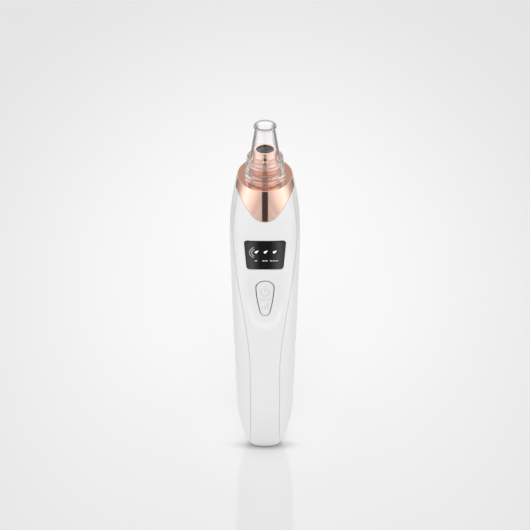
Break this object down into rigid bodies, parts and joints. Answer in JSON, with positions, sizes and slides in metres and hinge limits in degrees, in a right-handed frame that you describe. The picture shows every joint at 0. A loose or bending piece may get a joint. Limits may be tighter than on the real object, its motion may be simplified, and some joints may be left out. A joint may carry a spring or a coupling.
{
  "type": "pore vacuum",
  "caption": "Slim white handheld pore vacuum with a clear pull-off suction head, rose-gold collar, black display window and teardrop button, standing on its foot.",
  "frame": {"origin": "middle of the foot's flat face, at the bottom of the part", "axes": "+Z along the body up to the suction head, front with the display and button facing -Y, +X to the right seen from the front"},
  "size_m": [0.036, 0.0377, 0.1956],
  "materials": {
    "white_plastic": "white moulded ABS, soft gloss",
    "rose_gold": "rose-gold mirror plating on moulded ABS",
    "clear_plastic": "clear moulded plastic",
    "black_gloss": "black high gloss window",
    "light_white": "white translucent plastic",
    "black_plastic": "black matt plastic",
    "red_plastic": "red wire insulation",
    "circuit_board": "green solder mask",
    "grey_foam": "grey open-cell foam",
    "black_rubber": "black rubber",
    "silicone": "milky silicone",
    "steel": "plated steel",
    "brass": "brass and copper",
    "magnet": "dark ferrite",
    "battery_wrap": "blue shrink wrap on a metal cell"
  },
  "bodies": {
    "handle": {"front_panel": "white_plastic", "rear_shell": "white_plastic", "collar": "rose_gold", "nozzle": "rose_gold", "nozzle_seal_ring": "silicone", "nozzle_screw_front": "steel", "nozzle_screw_back": "steel", "suction_hose": "silicone", "display_window": "black_gloss", "indicator_left": "light_white", "indicator_middle": "light_white", "indicator_right": "light_white", "led_left": "light_white", "led_middle": "light_white", "led_right": "light_white", "light_mask": "black_plastic", "main_board": "circuit_board", "controller_chip": "black_plastic", "switch_body": "black_plastic", "board_screw_low": "steel", "board_screw_high": "steel", "charge_board": "circuit_board", "socket_shell": "steel", "socket_tongue": "black_plastic", "battery_cell": "battery_wrap", "battery_wire_red": "red_plastic", "battery_wire_black": "black_plastic", "motor_wire_red": "red_plastic", "motor_wire_black": "black_plastic", "charge_wire_red": "red_plastic", "charge_wire_black": "black_plastic", "motor_can": "steel", "motor_end_cap": "black_plastic", "magnet_left": "magnet", "magnet_right": "magnet", "bush_low": "brass", "bush_high": "brass", "pump_sleeve": "grey_foam", "pump_base": "black_plastic", "diaphragm": "black_rubber", "valve_plate": "light_white", "umbrella_valve": "black_rubber", "pump_head": "black_plastic", "pump_screw_left": "steel", "pump_screw_right": "steel"},
    "head": {"suction_head": "clear_plastic"},
    "filter": {"filter_sponge": "grey_foam"},
    "button": {"power_button": "white_plastic"},
    "plunger": {"switch_plunger": "light_white"},
    "rotor": {"motor_shaft": "steel", "motor_rotor": "brass", "crank_wheel": "light_white", "crank_pin": "steel"},
    "swing": {"swing_plate": "light_white"}
  },
  "joints": [
    {"name": "head_pull", "type": "slide", "parent": "handle", "child": "head", "axis": [0, 0, 1], "range_m": [0, 0.02]},
    {"name": "filter_lift", "type": "slide", "parent": "handle", "child": "filter", "axis": [0, 0, 1], "range_m": [0, 0.004]},
    {"name": "button_press", "type": "slide", "parent": "handle", "child": "button", "axis": [0, 1, 0], "range_m": [0, 0.00035], "stiffness_N_per_m": 3000},
    {"name": "switch_press", "type": "slide", "parent": "handle", "child": "plunger", "axis": [0, 1, 0], "range_m": [0, 0.00035]},
    {"name": "motor_spin", "type": "hinge", "parent": "handle", "child": "rotor", "pos_m": [0, 0.0027, 0.09], "axis": [0, 0, 1], "continuous": true},
    {"name": "swing_rock", "type": "hinge", "parent": "handle", "child": "swing", "pos_m": [0, 0.0027, 0.1113], "axis": [1, 0, 0], "range_deg": [-4, 4], "stiffness_Nm_per_rad": 0.02}
  ],
  "couplings": [
    {"joint": "switch_press", "follows": "button_press", "ratio": 1}
  ]
}
